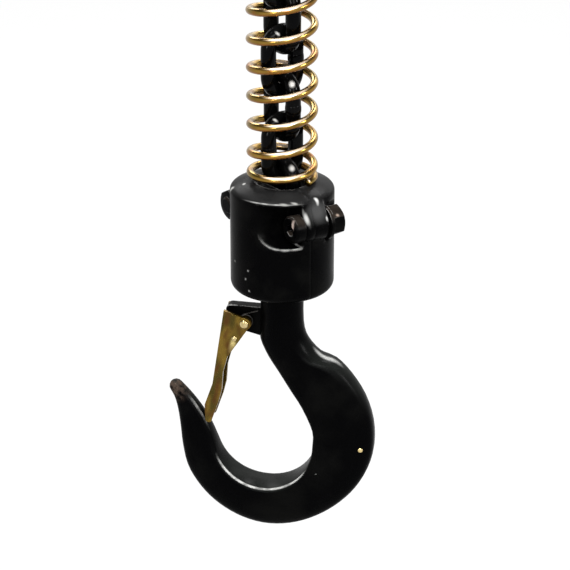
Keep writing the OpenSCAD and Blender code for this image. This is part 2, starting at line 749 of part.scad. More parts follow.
// The latch is drawn along X from its pivot, with the web on its +Y side, and swung to the nose
nose_seat = bezier(nose_inside, latch_seat);
nose_seat_way = unit(bezier(nose_inside, latch_seat + 0.01) - nose_seat);
latch_end = nose_seat + (latch_tip_r + latch_tip_gap) * [nose_seat_way[1], -nose_seat_way[0]];
latch_l = norm(latch_end - pivot);
latch_angle = atan2(latch_end[1] - pivot[1], latch_end[0] - pivot[0]);
// Outside of the web and inside edge of the cheeks, as [along the latch, across it]
web_line = [[-latch_top, -latch_web_offset], [0.66 * latch_l, -latch_low_offset],
            [0.88 * latch_l, -latch_low_offset]];
cheek_line = [[0.8 * latch_l, cheek_toe], [0.68 * latch_l, 0.6 * cheek_toe],
              [0.52 * latch_l, -0.7 * cheek_waist], [0.36 * latch_l, -cheek_waist], [0.2 * latch_l, cheek_neck]];

module cheek_outline() {
    polygon(concat(
        web_line,
        arc([latch_l, 0], latch_tip_r, -80, 80),
        cheek_line,
        arc([0, 0], latch_eye_r, 50, 140),
        [[-latch_top, cheek_heel]]));
}

// Strip of the cheek's outline that the web fills
module web_outline() {
    difference() {
        cheek_outline();
        translate([0, latch_sheet]) polygon(concat(
            [web_line[0] - [latch_l, 0]], web_line, arc([latch_l, 0], latch_tip_r, -80, 80),
            [[latch_l, latch_l], [-latch_l, latch_l]]));
        translate([-latch_l, -latch_l]) square([latch_l + latch_web_top, 2 * latch_l]);
    }
}

// Puts what is drawn in the latch's own outline into the plane of the hook
module latch_frame(spread) {
    translate([pivot[0], 0, pivot[1]]) rotate([90, 0, 0]) rotate([0, 0, latch_angle])
        linear_extrude(height = spread, center = true) children();
}

// Folded from sheet: two cheeks on the pin and a web between them on the outside
module latch() {
    color(zinc_gold) hung() difference() {
        union() {
            latch_frame(latch_w) web_outline();
            for (side = [-1, 1]) {
                translate([0, side * (latch_w - latch_sheet) / 2, 0])
                    latch_frame(latch_sheet) cheek_outline();
            }
        }
        translate([pivot[0], 0, pivot[1]]) bar_y(latch_pin_d / 2 + latch_pin_clear, 2 * latch_w);
    }
}

module latch_pin() {
    color(bright_steel) hung() translate([pivot[0], 0, pivot[1]]) {
        bar_y(latch_pin_d / 2, latch_w + 2 * latch_pin_head_h);
        for (side = [-1, 1]) {
            translate([0, side * (latch_w + latch_pin_head_h) / 2, 0])
                bar_y(latch_pin_head_d / 2, latch_pin_head_h);
        }
    }
}

// Torsion spring round the latch pin: one leg on the neck, the other inside the web
coil_from = 110;
coil_to = latch_angle - 98 + 360 * coil_turns;
coil_y = lug_set - lug_t / 2 - latch_wire / 2 - latch_wire_gap / 2;
coil_pitch = latch_wire + latch_wire_gap;
function coil_point(a) =
    [pivot[0] + coil_r * cos(a), coil_y - coil_pitch * (a - coil_from) / 360, pivot[1] + coil_r * sin(a)];
function coil_way(a) = [-sin(a), 0, cos(a)];
coil_step = (coil_to - coil_from) / (coil_turns * latch_coil_rings);
latch_spring_path = concat(
    [coil_point(coil_from) - neck_leg * coil_way(coil_from)],
    [for (i = [0:coil_turns * latch_coil_rings]) coil_point(coil_from + i * coil_step)],
    [coil_point(coil_to) + web_leg * coil_way(coil_to)]);
latch_spring_gap = coil_pitch - latch_wire;

module latch_spring() {
    echo(str("latch spring: least gap to itself ", latch_spring_gap, " mm"));
    color(bright_steel) hung()
        skin(wire_rings(latch_spring_path, latch_wire / 2, [0, 1, 0], latch_coil_sides));
}

chain_link(1);  // chain_link_1
chain_link(2);  // chain_link_2
chain_link(3);  // chain_link_3
chain_link(4);  // chain_link_4
chain_link(5);  // chain_link_5
chain_link(6);  // chain_link_6
chain_link(7);  // chain_link_7
chain_link(8);  // chain_link_8
chain_link(9);  // chain_link_9
chain_pin();
limit_plate();
buffer_spring();
yoke_front_half();
yoke_rear_half();
clamp_bolts();
clamp_washers();
clamp_nuts();
bearing_upper_race();
bearing_lower_race();
bearing_balls();
bearing_cage();
hook_nut();
nut_lock_pin();
hook();
latch();
latch_pin();
latch_spring();
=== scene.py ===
"""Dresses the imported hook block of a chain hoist.

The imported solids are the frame. The classes below give each sub-assembly its finish, wind its springs and add
the small trim that the solids leave out. Sizes are in millimetres, in the frame of the solids.
"""

import logging
import math
from collections.abc import Sequence
from dataclasses import dataclass, field
from enum import Enum

import bpy
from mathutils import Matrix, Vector


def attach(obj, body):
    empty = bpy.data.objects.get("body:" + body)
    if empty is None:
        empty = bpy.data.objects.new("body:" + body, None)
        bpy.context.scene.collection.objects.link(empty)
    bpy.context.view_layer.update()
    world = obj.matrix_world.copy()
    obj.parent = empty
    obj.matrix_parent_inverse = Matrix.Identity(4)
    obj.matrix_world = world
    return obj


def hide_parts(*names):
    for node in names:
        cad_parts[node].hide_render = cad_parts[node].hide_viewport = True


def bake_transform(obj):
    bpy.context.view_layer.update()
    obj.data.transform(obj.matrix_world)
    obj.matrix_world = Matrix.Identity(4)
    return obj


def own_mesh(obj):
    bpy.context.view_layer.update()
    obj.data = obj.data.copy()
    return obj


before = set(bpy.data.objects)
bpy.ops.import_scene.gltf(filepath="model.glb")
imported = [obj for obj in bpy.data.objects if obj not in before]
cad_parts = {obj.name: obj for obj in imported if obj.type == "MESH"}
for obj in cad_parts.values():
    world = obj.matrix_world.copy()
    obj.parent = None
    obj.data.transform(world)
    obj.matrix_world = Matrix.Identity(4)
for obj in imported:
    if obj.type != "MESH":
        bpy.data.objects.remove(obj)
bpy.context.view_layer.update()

LOG = logging.getLogger("hook_block")
MM = 0.001

Colour = tuple[float, float, float]
Point = tuple[float, float, float]
Band = tuple[float, float]
Profile = Sequence[tuple[float, float]]
Socket = bpy.types.NodeSocket
Material = bpy.types.Material

FULL: Band = (0.0, 1.0)
ANY_HEIGHT: Band = (-1000.0, 1000.0)


class Body(Enum):
    """Moving bodies of the hook block."""

    CHAIN_TOP = "chain_top"
    CHAIN_MIDDLE = "chain_middle"
    BLOCK = "block"
    HOOK = "hook"
    LATCH = "latch"


class Slot(Enum):
    """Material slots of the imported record."""

    CHAIN_BLACK = "chain_black"
    BLACK_PAINT = "black_paint"
    HOOK_BLACK = "hook_black"
    BLACK_OXIDE = "black_oxide"
    YELLOW_ZINC = "yellow_zinc"
    BRIGHT_STEEL = "bright_steel"
    SPRING_STEEL = "spring_steel"
    CAGE_BRASS = "cage_brass"


class Graph:
    """A node material in the making, with one short method for each kind of node that the finishes use.

    Attributes:
        CREASE: likeness of the rounded and the plain normal at which an edge starts and is full.
        CORE: share of a spot's reach within which its mask is full.
        RIM_SIDE: widths over which a rim's mask rises and falls with the share of Y in the normal.
        RIM_RISE: rise of the normal at which a rim's mask starts and is full.
        HEIGHT_FADE: half widths over which a mask between two heights rises and falls, in millimetres.
    """

    CREASE: Band = (0.995, 0.82)
    CORE = 0.2
    RIM_SIDE: Band = (0.14, 0.17)
    RIM_RISE: Band = (0.36, 0.64)
    HEIGHT_FADE: Band = (2.0, 4.0)

    def __init__(self, name: str) -> None:
        """Starts a material with its shader.

        Args:
            name: name of the material.
        """
        self.material = bpy.data.materials.new(name)
        self.material.use_nodes = True
        self.tree = self.material.node_tree
        self.shader = self.tree.nodes["Principled BSDF"]
        self.place = self.add("ShaderNodeTexCoord").outputs["Object"]

    def add(self, kind: str, **settings: object) -> bpy.types.Node:
        """Adds a node.

        Args:
            kind: Blender's name of the node type.
            settings: properties of the node.

        Returns:
            The new node.
        """
        node = self.tree.nodes.new(kind)
        for name, value in settings.items():
            setattr(node, name, value)
        return node

    def feed(self, socket: Socket, value: object) -> None:
        """Links a socket to another, or sets its value.

        Args:
            socket: the input to feed.
            value: an output socket, a colour or a number.
        """
        if isinstance(value, Socket):
            self.tree.links.new(value, socket)
        elif isinstance(value, tuple) and len(value) == 3 and socket.type == "RGBA":
            socket.default_value = (*value, 1.0)
        else:
            socket.default_value = value

    def noise(
        self, size: float, detail: float = 3.0, stretch: Point = (1.0, 1.0, 1.0), lean: float = 0.0
    ) -> Socket:
        """Cloudy noise with grains of a real size.

        Args:
            size: size of a grain in millimetres.
            detail: how many finer layers it has.
            stretch: how many times longer the grains are along X, Y and Z.
            lean: turn of the stretched grains about Y, in degrees.

        Returns:
            The noise, from 0 to 1.
        """
        turn = self.add("ShaderNodeMapping")
        self.feed(turn.inputs["Vector"], self.place)
        turn.inputs["Rotation"].default_value = (0.0, math.radians(lean), 0.0)
        squeeze = self.add("ShaderNodeMapping")
        self.feed(squeeze.inputs["Vector"], turn.outputs["Vector"])
        squeeze.inputs["Scale"].default_value = tuple(1.0 / s for s in stretch)
        node = self.add("ShaderNodeTexNoise")
        self.feed(node.inputs["Vector"], squeeze.outputs["Vector"])
        self.feed(node.inputs["Scale"], 1.0 / (size * MM))
        self.feed(node.inputs["Detail"], detail)
        return node.outputs["Fac"]

    def span(self, value: Socket, given: Band, wanted: Band = FULL) -> Socket:
        """Carries one range smoothly over to another.

        Args:
            value: the input.
            given: the range of the input that counts.
            wanted: the range of the output.

        Returns:
            The output, held within its range.
        """
        node = self.add("ShaderNodeMapRange", interpolation_type="SMOOTHSTEP")
        self.feed(node.inputs["Value"], value)
        for name, number in zip(("From Min", "From Max", "To Min", "To Max"), (*given, *wanted)):
            self.feed(node.inputs[name], number)
        return node.outputs["Result"]

    def both(self, a: Socket, b: Socket) -> Socket:
        """Product of two masks.

        Args:
            a: the first mask.
            b: the second mask.

        Returns:
            The mask that is 1 where both are.
        """
        node = self.add("ShaderNodeMath", operation="MULTIPLY")
        self.feed(node.inputs[0], a)
        self.feed(node.inputs[1], b)
        return node.outputs["Value"]

    def tint(self, mask: Socket, a: object, b: object) -> Socket:
        """Mixes two colours.

        Args:
            mask: 0 for the first colour, 1 for the second.
            a: the first colour.
            b: the second colour.

        Returns:
            The mixed colour.
        """
        node = self.add("ShaderNodeMix", data_type="RGBA")
        self.feed(node.inputs["Factor"], mask)
        self.feed(node.inputs[6], a)
        self.feed(node.inputs[7], b)
        return node.outputs[2]

    def near(self, spot: Point, reach: float, stretch: float = 1.0, lean: float = 0.0) -> Socket:
        """Mask round a point of the part.

        Args:
            spot: the point, in millimetres.
            reach: distance at which the mask has faded out, in millimetres.
            stretch: how many times longer the mask is along Z than across.
            lean: turn of the long mask about Y, in degrees.

        Returns:
            A mask that is 1 at the point.
        """
        away = self.add("ShaderNodeVectorMath", operation="SUBTRACT")
        self.feed(away.inputs[0], self.place)
        away.inputs[1].default_value = tuple(v * MM for v in spot)
        turn = self.add("ShaderNodeVectorRotate", rotation_type="Y_AXIS")
        self.feed(turn.inputs["Vector"], away.outputs["Vector"])
        self.feed(turn.inputs["Angle"], math.radians(lean))
        squeeze = self.add("ShaderNodeVectorMath", operation="MULTIPLY")
        self.feed(squeeze.inputs[0], turn.outputs["Vector"])
        squeeze.inputs[1].default_value = (1.0, 1.0, 1.0 / stretch)
        node = self.add("ShaderNodeVectorMath", operation="LENGTH")
        self.feed(node.inputs[0], squeeze.outputs["Vector"])
        return self.span(node.outputs["Value"], (reach * MM, self.CORE * reach * MM))

    def edge(self, radius: float) -> tuple[Socket, Socket]:
        """Rounded edges.

        Args:
            radius: radius of the rounding in millimetres.

        Returns:
            A mask that is 1 along the edges, and the rounded normal.
        """
        bevel = self.add("ShaderNodeBevel", samples=6)
        self.feed(bevel.inputs["Radius"], radius * MM)
        face = self.add("ShaderNodeNewGeometry")
        dot = self.add("ShaderNodeVectorMath", operation="DOT_PRODUCT")
        self.feed(dot.inputs[0], bevel.outputs["Normal"])
        self.feed(dot.inputs[1], face.outputs["Normal"])
        return self.span(dot.outputs["Value"], self.CREASE), bevel.outputs["Normal"]

    def own(self, normal: Socket | None = None) -> Socket:
        """Normal in the piece's own frame, so that worn patches, the dusting and the painted light and shade
        move with the piece.

        Args:
            normal: a normal in the frame of the scene, or None for the surface's own.

        Returns:
            The same normal as the piece has it at rest.
        """
        turn = self.add(
            "ShaderNodeVectorTransform", vector_type="NORMAL", convert_from="WORLD", convert_to="OBJECT"
        )
        self.feed(turn.inputs["Vector"], normal or self.add("ShaderNodeNewGeometry").outputs["Normal"])
        return turn.outputs["Vector"]

    def upward(self, given: Band, normal: Socket | None = None) -> Socket:
        """Mask of the faces that look up.

        Args:
            given: rise of the normal at which the mask starts, and at which it is full.
            normal: the normal that is looked at, or None for the surface's own.

        Returns:
            A mask that is 1 on faces that look up.
        """
        node = self.add("ShaderNodeSeparateXYZ")
        self.feed(node.inputs[0], self.own(normal))
        return self.span(node.outputs["Z"], given)

    def rim(self, given: Band) -> Socket:
        """Mask of the round rims between the faces along Y and the faces that look up.

        Args:
            given: least and greatest share of Y in the normals of those rims.

        Returns:
            A mask that is 1 along those rims.
        """
        parts = self.add("ShaderNodeSeparateXYZ")
        self.feed(parts.inputs[0], self.own())
        side = self.add("ShaderNodeMath", operation="ABSOLUTE")
        self.feed(side.inputs[0], parts.outputs["Y"])
        least, most = given
        rising, falling = self.RIM_SIDE
        band = self.both(
            self.span(side.outputs["Value"], (least, least + rising)),
            self.span(side.outputs["Value"], (most, most - falling)),
        )
        return self.both(band, self.span(parts.outputs["Z"], self.RIM_RISE))

    def between(self, heights: Band) -> Socket:
        """Mask of what lies between two heights of the part.

        Args:
            heights: the lower and the upper height in millimetres.

        Returns:
            A mask that is 1 between them.
        """
        parts = self.add("ShaderNodeSeparateXYZ")
        self.feed(parts.inputs[0], self.place)
        low, high = heights
        rising, falling = self.HEIGHT_FADE
        return self.both(
            self.span(parts.outputs["Z"], ((low - rising) * MM, (low + rising) * MM)),
            self.span(parts.outputs["Z"], ((high + falling) * MM, (high - falling) * MM)),
        )

    def facing(self, way: Point, band: Band) -> Socket:
        """Mask of the faces that look one way.

        Args:
            way: the direction, of length 1.
            band: share of it in the normal at which the mask starts and is full.

        Returns:
            A mask from 0 to 1.
        """
        dot = self.add("ShaderNodeVectorMath", operation="DOT_PRODUCT")
        self.feed(dot.inputs[0], self.own())
        dot.inputs[1].default_value = way
        return self.span(dot.outputs["Value"], band)

    def off_plane(self, normal: Point, gap: float) -> Socket:
        """Mask of what lies away from a plane through the axis of the part.

        Args:
            normal: normal of the plane.
            gap: distance from the plane at which the mask starts, in millimetres.

        Returns:
            A mask that is 0 on the plane.
        """
        dot = self.add("ShaderNodeVectorMath", operation="DOT_PRODUCT")
        self.feed(dot.inputs[0], self.place)
        dot.inputs[1].default_value = normal
        away = self.add("ShaderNodeMath", operation="ABSOLUTE")
        self.feed(away.inputs[0], dot.outputs["Value"])
        return self.span(away.outputs["Value"], (gap * MM, 2.0 * gap * MM))

    def bump(self, height: Socket, depth: float, normal: Socket | None = None) -> Socket:
        """Relief on the surface.

        Args:
            height: the relief, from 0 to 1.
            depth: height of the relief in millimetres.
            normal: the normal that it is laid over.

        Returns:
            The new normal.
        """
        node = self.add("ShaderNodeBump")
        self.feed(node.inputs["Height"], height)
        self.feed(node.inputs["Distance"], depth * MM)
        if normal is not None:
            self.feed(node.inputs["Normal"], normal)
        return node.outputs["Normal"]


@dataclass(frozen=True)
class WearAndLightSpot:
    """Small place where a coat is chipped or rubbed, or where a highlight is painted on it.

    Attributes:
        spot: middle of the place.
        reach: distance at which it has faded out.
        stretch: how many times taller it is than wide.
        lean: its turn about Y, in degrees.
        colour: colour of what shows there, or of the painted highlight.
    """

    spot: Point
    reach: float = 0.8
    stretch: float = 1.0
    lean: float = 0.0
    colour: Colour = (0.12, 0.12, 0.115)


@dataclass(frozen=True)
class BlackFinish:
    """Black coat over iron.

    Attributes:
        name: name of the material.
        coat: colour of the coat.
        dusty: colour of its paler patches.
        bare: colour where edges and rims are rubbed, which also serves as their painted highlight.
        gloss: roughness of the smoothest and of the dullest patches.
        grain: size of the fine pits.
        grain_depth: depth of the fine pits.
        swell: size of the wide waves of the raw surface.
        swell_depth: height of those waves.
        edge: radius of the rounded edges.
        rubbed: how much of the edges is rubbed and lit with a painted highlight, from 0 to 1.
        dust_and_top_light: colour of the faces that look up, partly a dusting and partly painted light from
            above.
        dust_and_top_light_heights: heights between which that colour lies on those faces.
        specular: strength of its gloss.
        rims: how much the round rims are rubbed and lit with a painted highlight, from 0 to 1.
        rim_band: least and greatest share of Y in the normals of those rims.
        rim_heights: heights between which they are rubbed and lit.
        seam: normal of the plane of a joint whose edges aren't rubbed, or None.
        wear_and_light_spots: places where the coat is chipped or rubbed, places with a painted highlight, and
            spots of plain coat.
        worn_spot: point round which the coat is worn through, or None.
        worn_reach: how far that worn patch reaches.
        worn: colour of the worn patch.
    """

    name: str
    coat: Colour
    dusty: Colour
    bare: Colour
    gloss: Band
    grain: float
    grain_depth: float
    swell: float
    swell_depth: float
    edge: float
    rubbed: float
    dust_and_top_light: Colour = (0.012, 0.012, 0.012)
    dust_and_top_light_heights: Band = ANY_HEIGHT
    specular: float = 0.015
    rims: float = 0.0
    rim_band: Band = (0.28, 0.8)
    rim_heights: Band = ANY_HEIGHT
    seam: Point | None = None
    wear_and_light_spots: tuple[WearAndLightSpot, ...] = ()
    worn_spot: Point | None = None
    worn_reach: float = 10.0
    worn: Colour = (0.05, 0.036, 0.027)

    # Shares of a noise between which one look gives way to another.
    CLOUDS = (0.3, 0.7)
    PALING = (0.42, 0.68)
    RIM_GAPS = (0.3, 0.6)
    # Rise of the normal at which an edge is rubbed and given its painted highlight, and at which the dusting and
    # painted top light lie.
    RUB_AND_HIGHLIGHT_RISE = (0.15, 0.65)
    DUST_AND_TOP_LIGHT_RISE = (0.2, 0.9)
    # Share of the dusting and painted top light in its thinnest and its thickest patches, and of rim wear and
    # painted highlight in the thinnest part of a rim.
    DUST_AND_TOP_LIGHT_SHARE = (0.45, 1.0)
    RIM_LEAST = 0.4
    # Sizes in millimetres: grains of the rubbed edges, of the rims and of the wear, and the gap to a seam.
    RUB_SIZE = 2.5
    RIM_SIZE = 3.5
    WEAR_SIZE = 2.2
    SEAM_GAP = 0.9

    def material(self) -> Material:
        """Builds the node material.

        Returns:
            The material.
        """
        g = Graph(self.name)
        wide = g.noise(self.swell, 2.0)
        fine = g.noise(self.grain, 5.0)
        patch = g.noise(3.0 * self.swell, 4.0)
        edges, rounded = g.edge(self.edge)
        colour = g.tint(g.span(patch, self.PALING), self.coat, self.dusty)
        # Edges that look up take the bare colour: partly edge wear, partly a painted highlight where light from
        # above catches them.
        gaps = (0.62 - 0.4 * self.rubbed, 0.75 - 0.3 * self.rubbed)
        rub_and_highlight = g.both(edges, g.span(g.noise(self.RUB_SIZE, 3.0), gaps))
        rub_and_highlight = g.both(rub_and_highlight, g.upward(self.RUB_AND_HIGHLIGHT_RISE, rounded))
        if self.seam:
            rub_and_highlight = g.both(rub_and_highlight, g.off_plane(self.seam, self.SEAM_GAP))
        # Faces that look up get a paler colour: partly a dusting, partly painted light from above.
        dusted_and_top_lit = g.both(g.upward(self.DUST_AND_TOP_LIGHT_RISE), g.between(self.dust_and_top_light_heights))
        colour = g.tint(g.both(dusted_and_top_lit, g.span(patch, self.CLOUDS, self.DUST_AND_TOP_LIGHT_SHARE)), colour, self.dust_and_top_light)
        colour = g.tint(rub_and_highlight, colour, self.bare)
        # Round rims that look up take the bare colour too: partly rim wear, partly a painted highlight.
        if self.rims:
            share = (self.RIM_LEAST * self.rims, self.rims)
            rim_wear_and_highlight = g.both(g.rim(self.rim_band), g.span(g.noise(self.RIM_SIZE, 3.0), self.RIM_GAPS, share))
            rim_wear_and_highlight = g.both(rim_wear_and_highlight, g.between(self.rim_heights))
            colour = g.tint(rim_wear_and_highlight, colour, self.bare)
        # Spots of another colour: chips, painted highlights and patches of plain coat.
        for coat_spot in self.wear_and_light_spots:
            colour = g.tint(g.near(coat_spot.spot, coat_spot.reach, coat_spot.stretch, coat_spot.lean), colour, coat_spot.colour)
        if self.worn_spot:
            bare = g.near(self.worn_spot, self.worn_reach)
            bare = g.both(bare, g.span(g.noise(self.WEAR_SIZE, 4.0), self.CLOUDS))
            colour = g.tint(bare, colour, self.worn)
        g.feed(g.shader.inputs["Base Color"], colour)
        g.feed(g.shader.inputs["Roughness"], g.span(patch, self.CLOUDS, self.gloss))
        g.feed(g.shader.inputs["Specular IOR Level"], self.specular)
        waves = g.bump(wide, self.swell_depth, rounded)
        g.feed(g.shader.inputs["Normal"], g.bump(fine, self.grain_depth, waves))
        return g.material


@dataclass(frozen=True)
class ZincFinish:
    """Yellow passivated zinc on steel.

    Attributes:
        name: name of the material.
        gold: main colour.
        olive: colour of the greener patches.
        amber: colour of the browner stains.
        gloss: roughness of the brightest and of the dullest patches.
        patch: size of the colour patches.
        streak: how many times longer the stains are than wide.
        lean: turn of the stains about Y, in degrees.
        stained: how much of the surface is stained, from 0 to 1.
        painted_highlight_spot: point round which a paler patch is painted as a highlight, or None.
        painted_highlight_reach: how far that painted highlight reaches to each side.
        pale: colour of that painted highlight.
        underside_shade: colour of the faces that look down, a painted shade, or None.
        metallic: how far it mirrors as a bare metal does, from 0 to 1.
        painted_highlight_way: way that the faces look that take a painted highlight, or None.
        painted_highlight_colour: colour of that painted highlight.
        drawn: depth of the lines left by drawing or rolling.
    """

    name: str
    gold: Colour
    olive: Colour
    amber: Colour
    gloss: Band
    patch: float
    streak: float = 1.0
    lean: float = 0.0
    stained: float = 0.4
    painted_highlight_spot: Point | None = None
    painted_highlight_reach: float = 3.0
    pale: Colour = (0.62, 0.5, 0.2)
    underside_shade: Colour | None = None
    metallic: float = 1.0
    painted_highlight_way: Point | None = None
    painted_highlight_colour: Colour = (0.6, 0.48, 0.36)
    drawn: float = 0.015

    # Shares of a noise between which one look gives way to another.
    PATCHES = (0.38, 0.64)
    CLOUDS = (0.3, 0.7)
    PALE_GAPS = (0.72, 0.4)
    PALE_SHARE = (0.3, 1.0)
    # Rise of the normal on the faces that look down, which take the painted shade.
    UNDERSIDE_SHADE_RISE = (0.05, -0.5)
    # Share of the highlighted way in the normal of a face with the painted highlight, and how far such a face
    # mirrors.
    HIGHLIGHT_BAND = (0.84, 0.97)
    HIGHLIGHT_METAL = 0.4
    # Stains against patches, length of the painted highlight patch against its width, and how much paler an edge
    # is.
    STAIN_SHARE = 0.7
    PALE_FORM = 2.4
    EDGE_LIFT = 1.25
    # Sizes in millimetres: radius of the edges and width of the drawn lines.
    EDGE = 0.35
    LINE = 0.35

    def material(self) -> Material:
        """Builds the node material.

        Returns:
            The material.
        """
        g = Graph(self.name)
        along = (1.0, 1.0, self.streak)
        drift = g.noise(self.patch, 1.0, along, self.lean)
        stain = g.noise(self.STAIN_SHARE * self.patch, 1.0, along, self.lean)
        edges, rounded = g.edge(self.EDGE)
        colour = g.tint(g.span(drift, self.PATCHES), self.gold, self.olive)
        gaps = (0.68 - 0.4 * self.stained, 0.95 - 0.25 * self.stained)
        colour = g.tint(g.span(stain, gaps), colour, self.amber)
        # Faces that look down take a darker, browner colour: painted shade.
        if self.underside_shade:
            colour = g.tint(g.upward(self.UNDERSIDE_SHADE_RISE), colour, self.underside_shade)
        # A paler patch round one point: a painted highlight.
        if self.painted_highlight_spot:
            patch = g.near(self.painted_highlight_spot, self.painted_highlight_reach, self.PALE_FORM, self.lean)
            patch = g.both(patch, g.span(stain, self.PALE_GAPS, self.PALE_SHARE))
            colour = g.tint(patch, colour, self.pale)
        colour = g.tint(edges, colour, tuple(min(1.0, self.EDGE_LIFT * v) for v in self.gold))
        # Faces that look one way take a pale, less metallic colour: a painted highlight band.
        if self.painted_highlight_way:
            rub_and_highlight = g.facing(self.painted_highlight_way, self.HIGHLIGHT_BAND)
            colour = g.tint(rub_and_highlight, colour, self.painted_highlight_colour)
            g.feed(g.shader.inputs["Metallic"], g.span(rub_and_highlight, FULL, (self.metallic, self.HIGHLIGHT_METAL)))
        else:
            g.feed(g.shader.inputs["Metallic"], self.metallic)
        g.feed(g.shader.inputs["Base Color"], colour)
        g.feed(g.shader.inputs["Roughness"], g.span(stain, self.CLOUDS, self.gloss))
        lines = g.noise(self.LINE, 3.0, along, self.lean)
        g.feed(g.shader.inputs["Normal"], g.bump(lines, self.drawn, rounded))
        return g.material


@dataclass(frozen=True)
class BareFinish:
    """Uncoated metal, turned, ground or drawn.

    Attributes:
        name: name of the material.
        metal: colour of the metal.
        tarnish: colour of its darker patches.
        gloss: roughness of the brightest and of the dullest patches.
    """

    name: str
    metal: Colour
    tarnish: Colour
    gloss: Band

    # Shares of a noise between which one look gives way to another.
    TARNISHING = (0.4, 0.7)
    CLOUDS = (0.3, 0.7)
    # Sizes in millimetres: the tarnished patches, the edges, and the width and depth of the tool's lines.
    FILM = 4.0
    EDGE = 0.25
    LINE = 0.3
    LINE_DEPTH = 0.01
    LINE_FORM = (1.0, 1.0, 6.0)

    def material(self) -> Material:
        """Builds the node material.

        Returns:
            The material.
        """
        g = Graph(self.name)
        film = g.noise(self.FILM, 4.0)
        _, rounded = g.edge(self.EDGE)
        colour = g.tint(g.span(film, self.TARNISHING), self.metal, self.tarnish)
        g.feed(g.shader.inputs["Base Color"], colour)
        g.feed(g.shader.inputs["Metallic"], 1.0)
        g.feed(g.shader.inputs["Roughness"], g.span(film, self.CLOUDS, self.gloss))
        lines = g.noise(self.LINE, 3.0, self.LINE_FORM)
        g.feed(g.shader.inputs["Normal"], g.bump(lines, self.LINE_DEPTH, rounded))
        return g.material


class SmoothShading:
    """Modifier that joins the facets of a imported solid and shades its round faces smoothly."""

    JOIN = 0.002
    SHARP = 32.0

    def __init__(self) -> None:
        """Builds the node group once for all solids."""
        tree = bpy.data.node_groups.new("smooth_shading", "GeometryNodeTree")
        tree.interface.new_socket("Geometry", in_out="INPUT", socket_type="NodeSocketGeometry")
        tree.interface.new_socket("Geometry", in_out="OUTPUT", socket_type="NodeSocketGeometry")
        start = tree.nodes.new("NodeGroupInput")
        loose = tree.nodes.new("GeometryNodeRemoveAttribute")
        loose.inputs["Name"].default_value = "custom_normal"
        join = tree.nodes.new("GeometryNodeMergeByDistance")
        join.inputs["Distance"].default_value = self.JOIN * MM
        faces = tree.nodes.new("GeometryNodeSetShadeSmooth")
        edges = tree.nodes.new("GeometryNodeSetShadeSmooth")
        edges.domain = "EDGE"
        edges.inputs["Shade Smooth"].default_value = False
        angle = tree.nodes.new("GeometryNodeInputMeshEdgeAngle")
        sharp = tree.nodes.new("FunctionNodeCompare")
        sharp.inputs[1].default_value = math.radians(self.SHARP)
        end = tree.nodes.new("NodeGroupOutput")
        chain = (start, loose, join, faces, edges, end)
        for before, after in zip(chain, chain[1:]):
            tree.links.new(before.outputs[0], after.inputs[0])
        tree.links.new(angle.outputs["Unsigned Angle"], sharp.inputs[0])
        tree.links.new(sharp.outputs["Result"], edges.inputs["Selection"])
        self.group = tree

    def apply(self, piece: bpy.types.Object) -> None:
        """Adds the modifier to a solid."""
        piece.modifiers.new("smooth_shading", "NODES").node_group = self.group


@dataclass
class Workshop:
    """Finishes and tools that the sub-assemblies share."""

    finishes: dict[Slot, Material]
    shading: SmoothShading

    def dress(self, nodes: Sequence[str], slot: Slot, finish: Material | None = None) -> None:
        """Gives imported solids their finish.

        Args:
            nodes: names of the solids.
            slot: slot of the finish.
            finish: a finish of its own, in place of the slot's.
        """
        for name in nodes:
            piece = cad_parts[name]
            piece.data.materials.clear()
            piece.data.materials.append(finish or self.finishes[slot])
            self.shading.apply(piece)
            LOG.info("dressed %s in %s", name, slot.value)

    def place(self, piece: bpy.types.Object, body: Body, slot: Slot, finish: Material | None = None) -> None:
        """Gives a new piece its finish and the body that it rides on.

        Args:
            piece: the new piece.
            body: the body that it rides on.
            slot: slot of the finish.
            finish: a finish of its own, in place of the slot's.
        """
        piece.data.materials.append(finish or self.finishes[slot])
        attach(piece, body.value)
        LOG.info("built %s on %s", piece.name, body.value)


def mesh_object(name: str, points: Sequence[Vector], faces: Sequence[Sequence[int]]) -> bpy.types.Object:
    """Makes a smooth mesh object.

    Args:
        name: name of the piece.
        points: vertices in millimetres.
        faces: vertex numbers of each face.

    Returns:
        The new object, linked to the scene.
    """
    mesh = bpy.data.meshes.new(name)
    mesh.from_pydata([tuple(p * MM) for p in points], [], faces)
    mesh.shade_smooth()
    mesh.update()
    piece = bpy.data.objects.new(name, mesh)
    bpy.context.scene.collection.objects.link(piece)
    return piece


